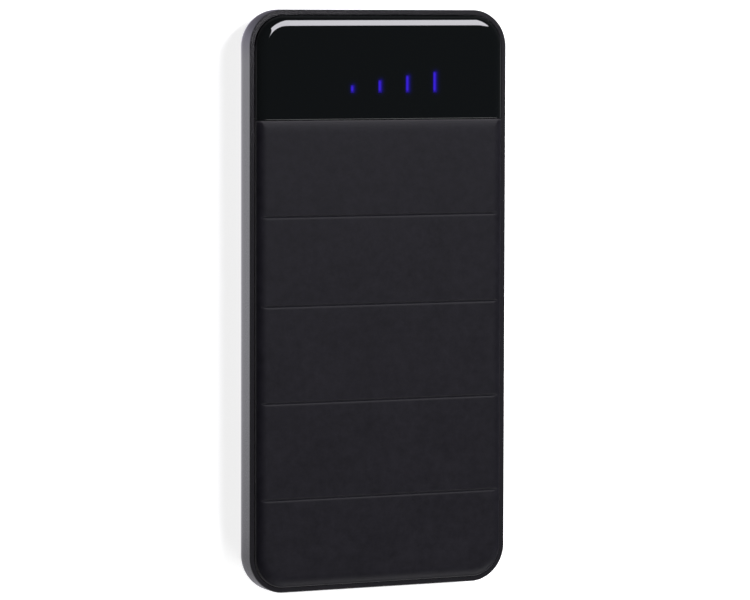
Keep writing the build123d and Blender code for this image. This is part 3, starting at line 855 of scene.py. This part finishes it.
def patterned(tree, place, pattern, scale):
    # A value from 0 to 1 that follows one of a few textures.
    if pattern == "brushed":
        stretched = tree.add("ShaderNodeMapping", {"Vector": place, "Scale": (1.0, 0.06, 1.0)})
        return noise(tree, stretched.outputs[0], scale * 12, 3, 0.65)
    if pattern == "cells":
        return tree.add("ShaderNodeTexVoronoi", {"Vector": place, "Scale": scale * 4.0},
                        feature="SMOOTH_F1").outputs["Distance"]
    if pattern == "creased":
        soft = noise(tree, place, scale * 0.5, 5, 0.6)
        folds = tree.add("ShaderNodeTexVoronoi", {"Vector": place, "Scale": scale * 0.6},
                         feature="DISTANCE_TO_EDGE").outputs["Distance"]
        return tree.math("ADD", tree.math("MULTIPLY", soft, 0.6), tree.math("MULTIPLY", folds, 0.4))
    if pattern == "woven":
        waves = [tree.add("ShaderNodeTexWave", {"Vector": place, "Scale": scale * 3.0,
                                                "Distortion": 0.6, "Detail": 2.0},
                          bands_direction=axis).outputs["Fac"] for axis in "XY"]
        return tree.math("MULTIPLY", *waves)
    return noise(tree, place, scale * 8, 3)


def madeOf(slot, dark, light, roughness, pattern="grain", scale=300, metallic=0.0,
           depth=0.00002):
    # A material whose tone, roughness and relief follow one texture and a slow cloud.
    first, *rest = slot.split("_")
    material, tree, place = newMaterial(first + "".join(word.capitalize() for word in rest))
    cloud = noise(tree, place, scale * 0.4, 4)
    relief = patterned(tree, place, pattern, scale)
    both = tree.math("ADD", tree.math("MULTIPLY", cloud, 0.55), tree.math("MULTIPLY", relief,
                                                                          0.45))
    bump = tree.add("ShaderNodeBump", {"Strength": 0.45, "Distance": depth, "Height": relief})
    shadeOut(tree, **{"Base Color": mixColour(tree, both, dark, light),
                      "Roughness": tree.remap(both, 0, 1, roughness * 0.75, roughness * 1.25),
                      "Metallic": metallic, "Normal": bump.outputs[0]})
    return material


def boardGreen():
    # Solder mask with copper tracks showing through as paler lines.
    material, tree, place = newMaterial("boardGreen")
    tracks = []
    for angle, scale in ((0.0, 330.0), (math.pi / 2, 250.0)):
        turned = tree.add("ShaderNodeMapping", {"Vector": place, "Rotation": (0, 0, angle)})
        bricks = tree.add("ShaderNodeTexBrick", {
            "Vector": turned.outputs[0], "Scale": scale, "Color1": (0, 0, 0, 1),
            "Color2": (0, 0, 0, 1), "Mortar": (1, 1, 1, 1), "Mortar Size": 0.05,
            "Mortar Smooth": 0.2, "Brick Width": 2.8, "Row Height": 0.42})
        tracks.append(bricks.outputs["Color"])
    regions = noise(tree, place, 140, 1)
    choice = tree.ramp(regions, [(0.49, (0, 0, 0)), (0.51, (1, 1, 1))])
    lines = mixColour(tree, choice, tracks[0], tracks[1])
    cloud = noise(tree, place, 90, 4)
    mask = mixColour(tree, cloud, (0.008, 0.075, 0.034), (0.013, 0.105, 0.048))
    colour = mixColour(tree, lines, mask, (0.030, 0.210, 0.095))
    bump = tree.add("ShaderNodeBump", {"Strength": 0.5, "Distance": 0.00003, "Height": lines})
    shadeOut(tree, **{"Base Color": colour, "Roughness": tree.remap(cloud, 0, 1, 0.22, 0.34),
                      "Normal": bump.outputs[0]})
    return material


# The plainer finishes: dark tone, light tone, roughness, pattern, scale, metal, relief depth
plainFinishes = {
    "frame_plastic": ((0.26, 0.26, 0.27), (0.34, 0.34, 0.35), 0.5, "cells", 500),
    "mask_rubber": ((0.010,) * 3, (0.022,) * 3, 0.75),
    "led_white": ((0.78, 0.74, 0.52), (0.90, 0.88, 0.70), 0.3, "grain", 600),
    "screw_steel": ((0.46, 0.46, 0.47), (0.64, 0.64, 0.65), 0.3, "brushed", 400, 1.0, 0.000006),
    "ferrite": ((0.055, 0.055, 0.06), (0.12, 0.12, 0.125), 0.7, "cells", 700),
    "chip_black": ((0.012, 0.012, 0.013), (0.026, 0.026, 0.027), 0.55, "grain", 700),
    "capacitor_tan": ((0.33, 0.22, 0.12), (0.48, 0.35, 0.21), 0.42, "cells", 600),
    "socket_steel": ((0.52, 0.52, 0.53), (0.70, 0.70, 0.71), 0.25, "brushed", 300, 1.0,
                     0.000006),
    "tongue_plastic": ((0.68, 0.68, 0.66), (0.82, 0.82, 0.80), 0.4),
    "contact_gold": ((0.80, 0.54, 0.20), (0.98, 0.74, 0.34), 0.22, "brushed", 500, 1.0,
                     0.000004),
    "button_plastic": ((0.016, 0.016, 0.018), (0.030, 0.030, 0.032), 0.3, "cells", 900, 0.0,
                       0.000008),
    "cell_foil": ((0.50, 0.51, 0.53), (0.70, 0.71, 0.73), 0.32, "creased", 150, 1.0, 0.00012),
    "tab_nickel": ((0.50, 0.48, 0.44), (0.68, 0.66, 0.61), 0.3, "brushed", 350, 1.0, 0.000006),
    "lead_red": ((0.38, 0.008, 0.008), (0.58, 0.025, 0.022), 0.42),
    "lead_black": ((0.010,) * 3, (0.022,) * 3, 0.42),
    "tape_white": ((0.62, 0.62, 0.60), (0.78, 0.78, 0.76), 0.7, "woven", 300),
    "foam_black": ((0.014,) * 3, (0.04,) * 3, 0.8, "cells", 800, 0.0, 0.00008),
    "tape_amber": ((0.50, 0.23, 0.02), (0.70, 0.40, 0.07), 0.2, "creased", 250, 0.0, 0.00005),
}
slotMaterials = {"shell_plastic": shellPlastic(), "cover_plastic": coverPlastic(),
                 "window_gloss": windowGloss(), "lens_blue": lensBlue(),
                 "board_green": boardGreen()}
for finishSlot, finish in plainFinishes.items():
    slotMaterials[finishSlot] = madeOf(finishSlot, *finish)
print("materials made:", len(slotMaterials))

slotOf = {part["node"]: part["material_slot"] for part in frame["record"]["subparts"]}
for name, node in nodes.items():
    node.data.materials.clear()
    node.data.materials.append(slotMaterials[slotOf[name]])

makeRearShell()
makeFrontCover()
makeWindow()
print("casing pieces made")


# Power button

button = {"centre": (50.25, 6.15), "straight": 3.0, "radius": 1.5, "flange": 0.7,
          "back": 32.1, "step": 32.7, "face": 34.65, "round": 0.22, "dish": 0.10,
          "dishReach": 0.9, "edgeBreak": 0.1, "nibRadius": 0.8, "nibStart": 31.8,
          "nibLength": 0.6}


def stadiumBody(name, centre, straight, levels, steps=14):
    # Stacked stadium outlines across X from (radius, x) levels, closed at both ends.
    outlines = []
    for radius, x in levels:
        outline = []
        for end, sign in ((0, 1), (1, -1)):
            for k in range(steps + 1):
                a = math.radians(-90 + 180 * k / steps) + math.pi * end
                outline.append((x, centre[0] + sign * straight + radius * math.cos(a),
                                centre[1] + radius * math.sin(a)))
        outlines.append(outline)
    return stackedBody(name, outlines)


def makeButton():
    radius, flange, bend = button["radius"], button["flange"], button["round"]
    face, back, step, off = (button[k] for k in ("face", "back", "step", "edgeBreak"))
    levels = [(radius + flange - off, back), (radius + flange, back + off),
              (radius + flange, step - off), (radius + flange - off, step), (radius, step)]
    levels += [(radius - bend * (1 - math.cos(a)), face - bend + bend * math.sin(a))
               for a in (math.radians(15 * k) for k in range(7))]
    levels += [(radius - bend - button["dishReach"] * k / 6, face - button["dish"] * math.sin(
        math.radians(90 * k / 6)) ** 2) for k in range(1, 7)]
    cap = stadiumBody("powerButton", button["centre"], button["straight"], levels)
    nibRadius = button["nibRadius"]
    nib = turnedBody("nib", [(nibRadius - off, 0), (nibRadius, off),
                             (nibRadius, button["nibLength"])], 24)
    turn = Matrix.Translation(Vector((button["nibStart"], *button["centre"])) * mm)
    nib.data.transform(turn @ Matrix.Rotation(math.radians(90), 4, "Y"))
    join = cap.modifiers.new("join", "BOOLEAN")
    join.operation = "UNION"
    join.object = nib
    plainMesh(cap)
    bpy.data.objects.remove(nib)
    smoothShade(cap)
    return finishPiece(cap, "button", "button_plastic", ["power_button"])


makeButton()
print("button made")


# Repeated parts on the circuit board and in the sockets

screw = {"shank": 0.78, "thread": 0.19, "pitch": 0.62, "tip": 0.15, "tipRise": 0.35,
         "threadFrom": 0.45, "threadTo": 0.25, "collar": 0.1, "chamfer": (0.12, 0.14),
         "headSide": 0.36, "recess": 0.5, "slotWidth": 0.34, "slotLength": 1.9}


def makeScrews():
    boxes = looseBoxes("board_screws")
    low, high = boxes[0]
    headRadius = (high.x - low.x) / 2
    boardTop = boxIn("circuit_board")[1].z
    top, tip = high.z, low.z
    shank = screw["shank"]
    profile = [(screw["tip"], tip), (shank * 0.7, tip + screw["tipRise"])]
    steps = 84
    start = tip + screw["threadFrom"]
    profile += [(shank, start + (boardTop - screw["threadTo"] - start) * k / steps)
                for k in range(steps + 1)]
    inward, upward = screw["chamfer"]
    crownZ = boardTop + screw["headSide"]
    profile += [(shank + screw["collar"], boardTop), (headRadius - inward, boardTop),
                (headRadius, boardTop + upward), (headRadius, crownZ)]
    rise = top - boardTop - screw["headSide"]
    profile += [(headRadius * math.cos(a), crownZ + rise * math.sin(a))
                for a in (math.radians(12 * k) for k in range(1, 8))]

    def thread(radius, height, turn):
        if abs(radius - shank) > 1e-6:
            return 0.0
        wave = (height / screw["pitch"] - turn) % 1.0
        return screw["thread"] * max(0.0, 1 - abs(wave - 0.5) * 3.2)

    shape = turnedBody("screwShape", profile, 28, thread)
    cutters = []
    for long, short in ((screw["slotLength"], screw["slotWidth"]),
                        (screw["slotWidth"], screw["slotLength"])):
        points = [(x * long / 2 * share, y * short / 2 * share, top + z)
                  for z, share in ((-screw["recess"], 0.6), (0.3, 1))
                  for x, y in ((-1, -1), (1, -1), (1, 1), (-1, 1))]
        faces = [(0, 1, 2, 3), (4, 5, 6, 7)] + [(k, (k + 1) % 4, (k + 1) % 4 + 4, k + 4)
                                                for k in range(4)]
        cutters.append(linkPiece("cross", meshFrom("cross", points, faces)))
    cutWith(shape, cutters)
    centres = [((a.x + b.x) / 2, (a.y + b.y) / 2) for a, b in boxes]
    xs = sorted({round(x, 3) for x, y in centres})
    ys = sorted({round(y, 3) for x, y in centres})
    rows = [((xs[0], y, 0), (xs[-1] - xs[0], 0, 0), 2, 25 + 40 * k)
            for k, y in enumerate(ys)]
    repeatPiece("boardScrews", shape, rows, "screw_steel", ["board_screws"])


# bends are (share of the length, height) along a contact
contact = {"endGap": 0.02, "thinner": 0.9, "bevel": 0.03,
           "bends": ((0.30, 0.0), (0.52, -0.10), (0.66, -0.27), (0.74, -0.32), (0.82, -0.27),
                     (0.92, -0.06))}


def makeContacts(side):
    node = "usb_a_contacts_" + side
    boxes = looseBoxes(node)
    low, high = boxes[0]
    width = high.x - low.x
    thick = high.z - low.z
    z = (low.z + high.z) / 2
    length = high.y - low.y
    path = [(low.y + contact["endGap"], z), (high.y - contact["endGap"], z)]
    path[1:1] = [(low.y + share * length, z + rise) for share, rise in contact["bends"]]
    shape = stripBody("contactShape", path, width, thick * contact["thinner"])
    softenEdges(shape, contact["bevel"], 2)
    pitch = boxes[1][0].x - low.x
    first = (low.x + high.x) / 2
    rows = [((first, 0, 0), (pitch, 0, 0), len(boxes), 0)]
    repeatPiece("usbContacts" + side.capitalize(), shape, rows, "contact_gold",
                [node])


# path is (out from the chip, below the board)
leg = {"pitch": 0.8, "endRoom": 0.9, "width": 0.34, "thickness": 0.12,
       "path": ((-0.12, 0.42), (0.16, 0.42), (0.26, 0.36), (0.36, 0.14), (0.46, 0.07),
                (0.80, 0.07))}


def makeChipLegs():
    boardZ = boxIn("circuit_board")[0].z
    rows = []
    pitch = leg["pitch"]
    for low, high in looseBoxes("control_chips"):
        count = int((high.y - low.y - leg["endRoom"]) / pitch) + 1
        startY = (low.y + high.y) / 2 - pitch * (count - 1) / 2
        rows.append(((high.x, startY, 0), (0, pitch, 0), count, -90))
        rows.append(((low.x, startY, 0), (0, pitch, 0), count, 90))
    path = [(out, boardZ - below) for out, below in leg["path"]]
    shape = stripBody("legShape", path, leg["width"], leg["thickness"])
    repeatPiece("chipLegs", shape, rows, "tab_nickel")


# Places are (in from the shell's side or middle, forward of its inner end)
joint = {"pins": (3.3, 1.1), "pinStep": 2.2, "tabs": (0.9, 4.6), "microTabs": (0.6, 1.2),
         "profile": ((0.62, 0.0), (0.52, 0.06), (0.36, 0.18), (0.24, 0.34), (0.20, 0.42),
                     (0.08, 0.45))}


def makeSolderJoints():
    boardTop = boxIn("circuit_board")[1].z
    profile = [(radius, boardTop + rise) for radius, rise in joint["profile"]]
    shape = turnedBody("jointShape", profile, 16)

    def tabPair(low, high, place):
        inward, forward = place
        return ((low.x + inward, low.y + forward, 0), (high.x - low.x - 2 * inward, 0, 0), 2, 0)

    rows = []
    for side in ("left", "right"):
        low, high = boxIn("usb_a_shell_" + side)
        middle = (low.x + high.x) / 2
        out, forward = joint["pins"]
        rows.append(((middle - out, low.y + forward, 0), (joint["pinStep"], 0, 0), 4, 0))
        rows.append(tabPair(low, high, joint["tabs"]))
    rows.append(tabPair(*boxIn("micro_usb_shell"), joint["microTabs"]))
    repeatPiece("solderJoints", shape, rows, "tab_nickel")


capEnd = {"grow": 0.05, "share": 0.24, "sink": 0.02, "bevel": 0.12}


def makeCapacitorEnds():
    points, faces = [], []
    grow = capEnd["grow"]
    for low, high in looseBoxes("capacitors"):
        along = 0 if high.x - low.x >= high.y - low.y else 1
        reach = capEnd["share"] * (high[along] - low[along])
        for end in (0, 1):
            a, b = Vector(low) - Vector((grow,) * 3), Vector(high) + Vector((grow,) * 3)
            b.z = high.z - capEnd["sink"]
            if end:
                a[along] = high[along] - reach
            else:
                b[along] = low[along] + reach
            base = len(points)
            points += boxCorners(a, b)
            faces += [tuple(base + k for k in face) for face in boxFaces]
    piece = linkPiece("capacitorEnds", meshFrom("capacitorEnds", points, faces))
    softenEdges(piece, capEnd["bevel"], 3)
    smoothShade(piece, 50)
    finishPiece(piece, "casing", "tab_nickel")


makeScrews()
for socketSide in ("left", "right"):
    makeContacts(socketSide)
makeChipLegs()
makeSolderJoints()
makeCapacitorEnds()
print("board and socket details made")
